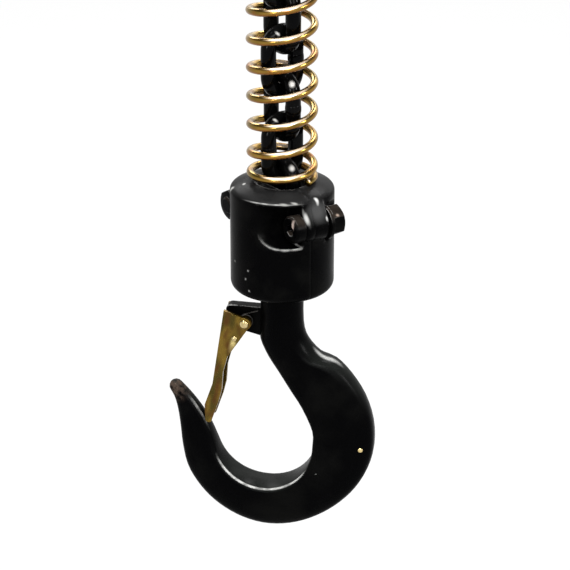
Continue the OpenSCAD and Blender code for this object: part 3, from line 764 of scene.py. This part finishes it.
def tube(name: str, path: Sequence[Vector], radius: float, axis: Vector, sides: int = 20) -> bpy.types.Object:
    """Sweeps a round wire along a path that winds about an axis, with a small chamfer at each cut end.

    Args:
        name: name of the piece.
        path: centre line in millimetres.
        radius: radius of the wire.
        axis: direction that the path winds about.
        sides: points round the wire.

    Returns:
        The wire.
    """
    last = len(path) - 1
    chamfer = 0.25 * radius
    first_way = (path[1] - path[0]).normalized()
    last_way = (path[last] - path[last - 1]).normalized()
    rows: list[tuple[Vector, Vector, float]] = [(path[0], first_way, radius - chamfer)]
    rows.append((path[0] + chamfer * first_way, first_way, radius))
    rows += [(path[i], (path[i + 1] - path[i - 1]).normalized(), radius) for i in range(1, last)]
    rows.append((path[last] - chamfer * last_way, last_way, radius))
    rows.append((path[last], last_way, radius - chamfer))
    angles = [math.tau * k / sides for k in range(sides)]
    points: list[Vector] = []
    for centre, way, r in rows:
        out = axis.cross(way).normalized()
        up = way.cross(out)
        points += [centre + r * (math.cos(a) * out + math.sin(a) * up) for a in angles]
    faces: list[list[int]] = []
    for i in range(len(rows) - 1):
        for k in range(sides):
            a, b = i * sides + k, i * sides + (k + 1) % sides
            faces.append([a, b, b + sides, a + sides])
    faces.append(list(reversed(range(sides))))
    faces.append([(len(rows) - 1) * sides + k for k in range(sides)])
    return mesh_object(name, points, faces)


def turned(name: str, profile: Profile, centre: Vector, axis: Vector, sides: int = 32) -> bpy.types.Object:
    """Turns a profile about an axis.

    Args:
        name: name of the piece.
        profile: pairs of radius and height, from one end to the other.
        centre: where height 0 lies.
        axis: direction of the heights.
        sides: points round the piece.

    Returns:
        The turned piece, closed where its ends have a radius.
    """
    axis = axis.normalized()
    side = axis.orthogonal().normalized()
    other = axis.cross(side)
    points = [
        centre + height * axis + r * (math.cos(a) * side + math.sin(a) * other)
        for r, height in profile
        for a in (math.tau * k / sides for k in range(sides))
    ]
    faces = [
        [i * sides + k, i * sides + (k + 1) % sides, (i + 1) * sides + (k + 1) % sides, (i + 1) * sides + k]
        for i in range(len(profile) - 1)
        for k in range(sides)
    ]
    faces.append(list(reversed(range(sides))))
    faces.append([(len(profile) - 1) * sides + k for k in range(sides)])
    return mesh_object(name, points, faces)


@dataclass
class LoadChain:
    """Load chain of welded links, from the top link down to the one on the yoke's pin."""

    links: int = 9
    wire: float = 7.1
    bend_r: float = 7.95
    first_z: float = -10.5
    step: float = 20.9
    turn: float = 51.0
    weld_swell: float = 0.22
    weld_length: float = 5.0
    weld_sunk: float = 0.05

    def dress(self, shop: Workshop) -> None:
        """Finishes the links."""
        shop.dress([f"chain_link_{n}" for n in range(1, self.links + 1)], Slot.CHAIN_BLACK)

    def body(self, number: int) -> Body:
        """Body that a link belongs to."""
        return {1: Body.CHAIN_TOP, 2: Body.CHAIN_MIDDLE}.get(number, Body.BLOCK)

    def build_welds(self, shop: Workshop) -> None:
        """Adds the weld on one leg of each link, where the bent bar was joined.

        Args:
            shop: the workshop with the finishes.
        """
        half = self.weld_length / 2
        r = self.wire / 2
        shape = [
            (r - self.weld_sunk, -half),
            (r + 0.3 * self.weld_swell, -0.7 * half),
            (r + self.weld_swell, -0.3 * half),
        ]
        profile = shape + [(radius, -height) for radius, height in reversed(shape)]
        for n in range(1, self.links + 1):
            angle = math.radians(self.turn + (90.0 if (self.links - n) % 2 == 0 else 0.0))
            side = 1 if n % 4 in (1, 2) else -1
            z = self.first_z - (n - 1) * self.step
            centre = Vector((side * self.bend_r * math.cos(angle), side * self.bend_r * math.sin(angle), z))
            weld = turned(f"link_weld_{n}", profile, centre, Vector((0, 0, 1)))
            shop.place(weld, self.body(n), Slot.CHAIN_BLACK)


@dataclass
class BufferSpring:
    """Compression spring round the chain, with a closed turn at each end."""

    wire: float = 3.6
    outside: float = 33.0
    length: float = 107.0
    turns: int = 9
    end_gap: float = 0.7
    start: float = -27.0
    foot_z: float = -172.9
    travel: float = 55.0
    rings: int = 72
    sides: int = 24
    ease_samples: int = 4
    ease_per_turn: int = 24

    def climb(self, t: float) -> float:
        """Rise of the wire after a number of turns.

        Args:
            t: turns from the lower end.

        Returns:
            The rise in millimetres.
        """
        closed = self.wire + self.end_gap
        pitch = (self.length - self.wire - 2 * closed) / (self.turns - 2)
        return closed * (min(t, 1) + max(t - self.turns + 1, 0)) + pitch * min(max(t - 1, 0), self.turns - 2)

    def eased(self, t: float) -> float:
        """Rise of the wire, eased where the closed turns end.

        Args:
            t: turns from the lower end.

        Returns:
            The rise in millimetres.
        """
        window = range(-self.ease_samples, self.ease_samples + 1)
        near = [min(max(t + d / self.ease_per_turn, 0), self.turns) for d in window]
        return sum(self.climb(n) for n in near) / len(near)

    def build(self, shop: Workshop) -> None:
        """Winds the wire and hangs it on the block.

        Args:
            shop: the workshop with the finishes.
        """
        r = (self.outside - self.wire) / 2
        path = []
        for i in range(self.turns * self.rings + 1):
            t = i / self.rings
            a = math.radians(self.start) + math.tau * t
            z = self.foot_z + self.wire / 2 + self.eased(t)
            path.append(Vector((r * math.cos(a), r * math.sin(a), z)))
        coil = tube("buffer_spring_coil", path, self.wire / 2, Vector((0, 0, 1)), self.sides)
        shop.place(coil, Body.BLOCK, Slot.YELLOW_ZINC)
        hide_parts("buffer_spring")
        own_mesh(coil)


@dataclass
class ClampYoke:
    """Split yoke with its clamp bolts, and the swivel bearing inside it."""

    halves: tuple[str, ...] = ("yoke_front_half", "yoke_rear_half")
    fasteners: tuple[str, ...] = ("clamp_bolts", "clamp_washers", "clamp_nuts")
    steel: tuple[str, ...] = (
        "bearing_upper_race", "bearing_lower_race", "bearing_balls", "hook_nut", "nut_lock_pin", "chain_pin",
    )
    brass: tuple[str, ...] = ("bearing_cage",)

    def dress(self, shop: Workshop) -> None:
        """Finishes the castings, the fasteners and the bearing.

        Args:
            shop: the workshop with the finishes.
        """
        shop.dress((*self.halves, "limit_plate"), Slot.BLACK_PAINT)
        shop.dress(self.fasteners, Slot.BLACK_OXIDE)
        shop.dress(self.steel, Slot.BRIGHT_STEEL)
        shop.dress(self.brass, Slot.CAGE_BRASS)


@dataclass
class SwivelHook:
    """Forged hook with the punched marks that its throat is gauged from."""

    marks: tuple[tuple[float, float, float, Slot], ...] = (
        (39.8, -305.9, 1.2, Slot.CAGE_BRASS),
        (18.4, -320.8, 0.7, Slot.HOOK_BLACK),
    )
    sunk: float = 0.5
    sides: int = 24
    clear_y: float = 40.0

    def dress(self, shop: Workshop) -> None:
        """Finishes the forging."""
        shop.dress(("hook",), Slot.HOOK_BLACK)

    def build_marks(self, shop: Workshop) -> None:
        """Sets the gauge marks on both faces of the forging, where a line along Y first meets it.

        Args:
            shop: the workshop with the finishes.
        """
        view = bpy.context.evaluated_depsgraph_get()
        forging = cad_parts["hook"].evaluated_get(view)
        into = forging.matrix_world.inverted()
        for number, (x, z, r, slot) in enumerate(self.marks, start=1):
            dome = [(r, -self.sunk), (r, 0.05), (0.85 * r, 0.25 * r), (0.5 * r, 0.38 * r), (0.05, 0.42 * r)]
            for side, word in ((-1, "front"), (1, "rear")):
                start = into @ (Vector((x, side * self.clear_y, z)) * MM)
                way = into.to_3x3() @ Vector((0.0, -side, 0.0))
                hit, spot, normal, _ = forging.ray_cast(start, way)
                if not hit:
                    raise RuntimeError(f"gauge mark {number} misses the hook")
                at = (forging.matrix_world @ spot) / MM
                out = forging.matrix_world.to_3x3() @ normal
                mark = turned(f"gauge_mark_{number}_{word}", dome, at, out, self.sides)
                shop.place(mark, Body.HOOK, slot)


@dataclass
class SafetyLatch:
    """Folded latch on its pin, with the wire spring that closes it."""

    pivot: tuple[float, float] = (-17.0, -244.9)
    width: float = 11.6
    head: float = 1.2
    lug: float = 5.0
    lug_set: float = 1.2
    wire: float = 0.7
    wire_gap: float = 0.45
    coil_r: float = 3.1
    coil_turns: int = 2
    coil_from: float = 110.0
    coil_lead: float = 98.0
    latch_angle: float = -109.1
    neck_leg: float = 7.2
    neck_rings: int = 6
    web_leg: float = 15.0
    web_rings: int = 10
    bend_share: float = 0.6
    dimple: tuple[float, float] = (-22.2, -253.5)
    dimple_r: float = 1.35
    dimple_sides: int = 24
    peen: Profile = ((2.2, -0.2), (2.15, 0.3), (1.8, 0.75), (1.1, 1.0), (0.05, 1.08))
    peen_sides: int = 28
    rings: int = 40
    sides: int = 12

    def dress(self, shop: Workshop, sheet: Material) -> None:
        """Finishes the latch and its pin."""
        shop.dress(("latch", "latch_pin"), Slot.YELLOW_ZINC, sheet)

    def build_trim(self, shop: Workshop, highlight_finish: Material) -> None:
        """Adds the pressed dimples of the cheeks and the peened ends of the pin.

        Args:
            shop: the workshop with the finishes.
            highlight_finish: finish of both, a paler zinc that paints a highlight on them.
        """
        r = self.dimple_r
        dome = [(r, -0.2), (r, 0.1), (0.85 * r, 0.45), (0.5 * r, 0.65), (0.05, 0.72)]
        for side, word in ((-1, "front"), (1, "rear")):
            out = Vector((0, side, 0))
            at = Vector((self.dimple[0], side * self.width / 2, self.dimple[1]))
            dimple = turned(f"latch_dimple_{word}", dome, at, out, self.dimple_sides)
            shop.place(dimple, Body.LATCH, Slot.YELLOW_ZINC, highlight_finish)
            at = Vector((self.pivot[0], side * (self.width / 2 + self.head), self.pivot[1]))
            end = turned(f"latch_pin_peen_{word}", self.peen, at, out, self.peen_sides)
            shop.place(end, Body.HOOK, Slot.YELLOW_ZINC, highlight_finish)

    def build_spring(self, shop: Workshop) -> None:
        """Winds the latch spring, with one leg against the neck and one against the latch.

        Args:
            shop: the workshop with the finishes.
        """
        first_y = self.lug_set - self.lug / 2 - self.wire / 2 - self.wire_gap / 2
        pitch = self.wire + self.wire_gap
        to = self.latch_angle - self.coil_lead + 360.0 * self.coil_turns

        def spot(a: float) -> Vector:
            """Point of the coil at an angle in degrees."""
            x = self.pivot[0] + self.coil_r * math.cos(math.radians(a))
            z = self.pivot[1] + self.coil_r * math.sin(math.radians(a))
            return Vector((x, first_y - pitch * (a - self.coil_from) / 360.0, z))

        def way(a: float) -> Vector:
            """Direction of the wire at an angle in degrees."""
            return Vector((-math.sin(math.radians(a)), 0.0, math.cos(math.radians(a))))

        count = self.coil_turns * self.rings
        turns = [spot(self.coil_from + (to - self.coil_from) * i / count) for i in range(count + 1)]
        n = self.neck_rings
        neck = [turns[0] - way(self.coil_from) * self.neck_leg * k / n for k in range(n, 0, -1)]
        n = self.web_rings
        web = [turns[-1] + way(to) * self.web_leg * k / n for k in range(1, n + 1)]
        coil = tube("latch_spring_wire", neck + turns + web, self.wire / 2, Vector((0, 1, 0)), self.sides)
        coil.data.materials.append(shop.finishes[Slot.SPRING_STEEL])
        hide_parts("latch_spring")
        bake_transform(coil)
        LOG.info("built %s between hook and latch", coil.name)


@dataclass
class Lamp:
    """One soft lamp of the studio.

    Attributes:
        name: name of the lamp.
        spot: where it stands, in millimetres.
        size: width and height of its face, in millimetres.
        power: power in watts.
        colour: colour of its light.
    """

    name: str
    spot: Point
    size: tuple[float, float]
    power: float
    colour: Colour = (1.0, 1.0, 1.0)


@dataclass
class Studio:
    """Pale floor, soft lamps, white surroundings and the camera."""

    floor_z: float = -480.0
    floor_size: float = 12000.0
    floor_grey: float = 0.9
    floor_glow: float = 0.94
    horizon: Band = (0.1, 0.5)
    aim: float = -226.0
    aim_shift: float = 1.3
    azimuth: float = 12.0
    elevation: float = 23.9
    distance: float = 1095.0
    lens: float = 146.6
    sensor: float = 36.0
    sight: float = 50.0
    ambient: float = 0.35
    zenith: float = 0.18
    lamps: list[Lamp] = field(
        default_factory=lambda: [
            Lamp("key", (520.0, -1000.0, 320.0), (400.0, 800.0), 7.0),
            Lamp("lip", (-340.0, -450.0, 830.0), (130.0, 130.0), 9.0),
            Lamp("side", (1080.0, -220.0, 200.0), (170.0, 220.0), 8.0),
            Lamp("top", (-330.0, -60.0, 950.0), (500.0, 400.0), 7.0),
            Lamp("rear", (130.0, 1150.0, 280.0), (1300.0, 420.0), 3.5),
            Lamp("rear_left", (-540.0, 816.0, 400.0), (360.0, 360.0), 4.2),
            Lamp("rear_right", (170.0, 828.0, 556.0), (240.0, 240.0), 4.0),
            Lamp("front", (-300.0, -980.0, 20.0), (160.0, 160.0), 3.0),
            Lamp("glint", (400.0, -490.0, 625.0), (110.0, 110.0), 3.0),
            Lamp("strip", (195.0, -564.0, 545.0), (800.0, 90.0), 5.5),
        ]
    )

    def seen(self, tree: bpy.types.NodeTree) -> Socket:
        """Mask of the rays that show the surroundings.

        Args:
            tree: the node tree that uses it.

        Returns:
            1 for camera, glossy and transmission rays.
        """
        path = tree.nodes.new("ShaderNodeLightPath")
        first = tree.nodes.new("ShaderNodeMath")
        first.operation = "MAXIMUM"
        tree.links.new(path.outputs["Is Camera Ray"], first.inputs[0])
        tree.links.new(path.outputs["Is Glossy Ray"], first.inputs[1])
        second = tree.nodes.new("ShaderNodeMath")
        second.operation = "MAXIMUM"
        tree.links.new(first.outputs[0], second.inputs[0])
        tree.links.new(path.outputs["Is Transmission Ray"], second.inputs[1])
        return second.outputs[0]

    def build_world(self) -> None:
        """Makes the surroundings white to look at and soft as light."""
        world = bpy.data.worlds.new("studio")
        world.use_nodes = True
        bpy.context.scene.world = world
        tree = world.node_tree
        tree.nodes.clear()
        shown = tree.nodes.new("ShaderNodeBackground")
        way = tree.nodes.new("ShaderNodeTexCoord")
        parts = tree.nodes.new("ShaderNodeSeparateXYZ")
        fall = tree.nodes.new("ShaderNodeMapRange")
        fall.interpolation_type = "SMOOTHSTEP"
        ends = (*self.horizon, 1.0, self.zenith)
        for name, number in zip(("From Min", "From Max", "To Min", "To Max"), ends):
            fall.inputs[name].default_value = number
        tree.links.new(way.outputs["Generated"], parts.inputs[0])
        tree.links.new(parts.outputs["Z"], fall.inputs["Value"])
        tree.links.new(fall.outputs["Result"], shown.inputs["Color"])
        light = tree.nodes.new("ShaderNodeBackground")
        light.inputs["Color"].default_value = (1.0, 1.0, 1.0, 1.0)
        light.inputs["Strength"].default_value = self.ambient
        mix = tree.nodes.new("ShaderNodeMixShader")
        out = tree.nodes.new("ShaderNodeOutputWorld")
        tree.links.new(self.seen(tree), mix.inputs[0])
        tree.links.new(light.outputs[0], mix.inputs[1])
        tree.links.new(shown.outputs[0], mix.inputs[2])
        tree.links.new(mix.outputs[0], out.inputs["Surface"])

    def build_floor(self) -> None:
        """Lays a pale floor well below the hanging hook."""
        half = self.floor_size / 2
        corners = ((-half, -half), (half, -half), (half, half), (-half, half))
        floor = mesh_object("floor", [Vector((x, y, self.floor_z)) for x, y in corners], [[0, 1, 2, 3]])
        g = Graph("floor_paint")
        g.feed(g.shader.inputs["Base Color"], (self.floor_grey,) * 3)
        g.feed(g.shader.inputs["Roughness"], 0.9)
        g.feed(g.shader.inputs["Specular IOR Level"], 0.0)
        glow = g.add("ShaderNodeEmission")
        glow.inputs["Strength"].default_value = 1.0
        share = g.add("ShaderNodeMath", operation="MULTIPLY")
        g.feed(share.inputs[0], self.seen(g.tree))
        share.inputs[1].default_value = self.floor_glow
        mix = g.add("ShaderNodeMixShader")
        g.feed(mix.inputs[0], share.outputs[0])
        g.feed(mix.inputs[1], g.shader.outputs[0])
        g.feed(mix.inputs[2], glow.outputs[0])
        g.feed(g.tree.nodes["Material Output"].inputs["Surface"], mix.outputs[0])
        floor.data.materials.append(g.material)

    def build_lamps(self) -> None:
        """Hangs the lamps, each turned to the yoke."""
        for lamp in self.lamps:
            light = bpy.data.lights.new(lamp.name, "AREA")
            light.shape = "RECTANGLE"
            light.size, light.size_y = (v * MM for v in lamp.size)
            light.energy = lamp.power
            light.color = lamp.colour
            holder = bpy.data.objects.new(lamp.name, light)
            bpy.context.scene.collection.objects.link(holder)
            holder.location = Vector(lamp.spot) * MM
            way = Vector((0, 0, self.aim)) * MM - holder.location
            holder.rotation_euler = way.to_track_quat("-Z", "Y").to_euler()

    def build_camera(self) -> None:
        """Sets the camera at the photograph's angle."""
        a, e = math.radians(self.azimuth), math.radians(self.elevation)
        back = Vector((math.sin(a) * math.cos(e), -math.cos(a) * math.cos(e), math.sin(e)))
        right = Vector((math.cos(a), math.sin(a), 0.0))
        camera = bpy.data.cameras.new("camera")
        camera.sensor_fit = "HORIZONTAL"
        camera.sensor_width = self.sensor
        camera.lens = self.lens
        camera.clip_end = self.sight
        holder = bpy.data.objects.new("camera", camera)
        bpy.context.scene.collection.objects.link(holder)
        holder.location = (Vector((0, 0, self.aim)) + self.aim_shift * right + self.distance * back) * MM
        holder.rotation_euler = (-back).to_track_quat("-Z", "Y").to_euler()
        bpy.context.scene.camera = holder

    def build(self) -> None:
        """Builds the whole studio."""
        self.build_world()
        self.build_floor()
        self.build_lamps()
        self.build_camera()
        bpy.context.scene.view_settings.view_transform = "Standard"
        LOG.info("built the studio")


def make_finishes() -> dict[Slot, Material]:
    """Builds the finish of each slot.

    Returns:
        Materials by slot.
    """
    paint = dict(coat=(0.0005, 0.0005, 0.0006), dusty=(0.0016, 0.0016, 0.0015), bare=(0.32, 0.32, 0.31))
    grey = (0.1, 0.1, 0.097)
    barrel_chips_and_painted_light = (
        # Chips in the paint low on the barrel, the last of them on the next line.
        WearAndLightSpot((-19.3, -14.8, -209.2)), WearAndLightSpot((-11.6, -21.3, -210.7)), WearAndLightSpot((-13.0, -20.5, -215.3)),
        # After the fourth chip, a wide grey patch on the ear's ramp: painted light from the side.
        WearAndLightSpot((-11.1, -21.6, -220.7)), WearAndLightSpot((19.5, -15.9, -180.5), 7.0, colour=(0.035, 0.035, 0.035)),
        # Painted highlights on the ear's near edge, on its top at the split and at its far end.
        WearAndLightSpot((15.4, -20.6, -182.3), 1.6, 3.6, 24.0, (0.3, 0.3, 0.29)),
        WearAndLightSpot((18.9, -14.0, -176.2), 1.4, 2.2, 17.0, (0.4, 0.4, 0.39)),
        WearAndLightSpot((24.0, -14.0, -184.6), 1.1, 2.0, 0.0, (0.3, 0.3, 0.29)),
        # A patch of plain coat black that clears the rim's rub and painted highlight under the ear.
        WearAndLightSpot((22.9, -7.6, -197.6), 6.0, colour=(0.0005, 0.0005, 0.0006)),
        # Painted highlights on the left of the shoulder.
        WearAndLightSpot((-21.9, -8.6, -175.6), 1.7, 1.6, 0.0, (0.26, 0.26, 0.25)),
        WearAndLightSpot((-16.4, -7.6, -173.3), 1.3, 1.0, 0.0, (0.3, 0.3, 0.29)),
        # Painted highlight lines along the shoulder's edge over the pocket.
        WearAndLightSpot((5.6, -23.0, -175.8), 0.9, 3.6, 90.0, (0.2, 0.2, 0.19)),
        WearAndLightSpot((10.0, -21.1, -175.6), 0.9, 3.6, 90.0, (0.2, 0.2, 0.19)),
    )
    forging_chip_and_highlight = (
        # A chip in the paint on the nose.
        WearAndLightSpot((-44.4, -5.0, -288.1), 1.7, colour=grey),
        # Painted highlight along the crest of the hook's back.
        WearAndLightSpot((22.0, -0.5, -261.4), 2.7, 3.8, 60.0, (0.34, 0.34, 0.33)),
    )
    # Painted glints on the bends and crowns of the links.
    painted_glint_colour = (0.45, 0.44, 0.42)
    chain_painted_glints = (
        WearAndLightSpot((6.0, -6.9, -123.4), 1.9, 1.25, colour=painted_glint_colour),
        WearAndLightSpot((5.9, -6.2, -164.1), 1.9, 1.25, colour=painted_glint_colour),
        WearAndLightSpot((-0.7, -5.8, -100.6), 0.9, 2.4, 55.0, painted_glint_colour),
        WearAndLightSpot((-2.1, -5.8, -141.6), 0.9, 2.4, 55.0, painted_glint_colour),
    )
    # Painted glints on the right nut and on the bolt head in the pocket.
    bolt_painted_glints = (
        WearAndLightSpot((27.8, -9.4, -184.7), 1.2, 2.6, -25.0, (0.2, 0.155, 0.125)),
        WearAndLightSpot((9.8, -23.2, -185.6), 1.4, 2.6, -12.0, (0.3, 0.24, 0.21)),
    )
    finishes = {
        Slot.BLACK_PAINT: BlackFinish(
            "cast_black_paint", gloss=(0.24, 0.33), grain=0.9, grain_depth=0.012, swell=5.0, swell_depth=0.05,
            edge=2.2, rubbed=0.9, dust_and_top_light=(0.012, 0.012, 0.012), dust_and_top_light_heights=(-190.0, 0.0),
            rims=1.0, rim_band=(0.68, 0.99), rim_heights=(-190.0, 0.0),
            wear_and_light_spots=barrel_chips_and_painted_light, seam=(0.7071, 0.7071, 0.0), **paint,
        ),
        Slot.HOOK_BLACK: BlackFinish(
            "forged_black_paint", gloss=(0.24, 0.34), grain=1.1, grain_depth=0.014, swell=8.0, swell_depth=0.1,
            edge=1.2, rubbed=0.5, dust_and_top_light=(0.012, 0.013, 0.012), dust_and_top_light_heights=(-400.0, -250.0),
            rims=1.0, rim_heights=(-400.0, -290.0), wear_and_light_spots=forging_chip_and_highlight,
            worn_spot=(-52.7, 0.0, -284.1), worn_reach=10.0, **paint,
        ),
        Slot.CHAIN_BLACK: BlackFinish(
            "oiled_chain_black", gloss=(0.12, 0.17), grain=0.7, grain_depth=0.002, swell=4.0, swell_depth=0.01,
            edge=0.4, rubbed=0.2, dust_and_top_light=(0.004, 0.004, 0.004), specular=0.05, wear_and_light_spots=chain_painted_glints, **paint,
        ),
        Slot.BLACK_OXIDE: BlackFinish(
            "black_oxide", gloss=(0.26, 0.36), grain=0.5, grain_depth=0.01, swell=3.0, swell_depth=0.03,
            edge=0.5, rubbed=0.5, dust_and_top_light=(0.019, 0.015, 0.012), wear_and_light_spots=bolt_painted_glints, **paint,
        ),
        Slot.YELLOW_ZINC: ZincFinish(
            "yellow_zinc_wire", gold=(0.3, 0.178, 0.036), olive=(0.19, 0.125, 0.024), amber=(0.25, 0.085, 0.018),
            # The darker, browner faces that look down are painted shade.
            gloss=(0.16, 0.28), patch=9.0, stained=0.45, underside_shade=(0.22, 0.092, 0.019),
            # A band of faces looking up and to the front takes a painted highlight.
            painted_highlight_way=(0.147, -0.69, 0.707), drawn=0.004,
        ),
        Slot.BRIGHT_STEEL: BareFinish(
            "ground_steel", metal=(0.56, 0.57, 0.58), tarnish=(0.36, 0.36, 0.37), gloss=(0.25, 0.4)
        ),
        # Darkened far below drawn wire so that the latch spring stays dark between the cheeks: painted shade.
        Slot.SPRING_STEEL: BareFinish(
            "drawn_spring_wire_in_shade", metal=(0.05, 0.047, 0.044), tarnish=(0.03, 0.028, 0.026), gloss=(0.3, 0.45)
        ),
        Slot.CAGE_BRASS: BareFinish(
            "pressed_brass", metal=(0.7, 0.55, 0.26), tarnish=(0.45, 0.33, 0.14), gloss=(0.3, 0.45)
        ),
    }
    return {slot: finish.material() for slot, finish in finishes.items()}


def main() -> None:
    """Dresses each sub-assembly, builds its trim and sets up the studio."""
    logging.basicConfig(level=logging.INFO, format="%(name)s: %(message)s")
    shop = Workshop(make_finishes(), SmoothShading())
    sheet = ZincFinish(
        "yellow_zinc_sheet", gold=(0.16, 0.1, 0.014), olive=(0.06, 0.043, 0.006), amber=(0.075, 0.029, 0.005),
        gloss=(0.2, 0.3), patch=6.0, streak=2.0, lean=-12.0, stained=0.6, metallic=0.85, drawn=0.003,
        # A paler patch below the front dimple: painted highlight.
        painted_highlight_spot=(-23.2, -5.8, -257.6), painted_highlight_reach=2.3,
    ).material()
    # A paler copy of the sheet's zinc for the dimples and the pin's ends: painted highlight.
    highlight_zinc = ZincFinish(
        "yellow_zinc_painted_highlight", gold=(0.62, 0.5, 0.26), olive=(0.5, 0.4, 0.19), amber=(0.35, 0.22, 0.08),
        gloss=(0.14, 0.22), patch=2.0, stained=0.3,
    ).material()
    chain = LoadChain()
    chain.dress(shop)
    chain.build_welds(shop)
    BufferSpring().build(shop)
    ClampYoke().dress(shop)
    hook = SwivelHook()
    hook.dress(shop)
    hook.build_marks(shop)
    latch = SafetyLatch()
    latch.dress(shop, sheet)
    latch.build_trim(shop, highlight_zinc)
    latch.build_spring(shop)
    Studio().build()


if __name__ == "__main__":
    main()
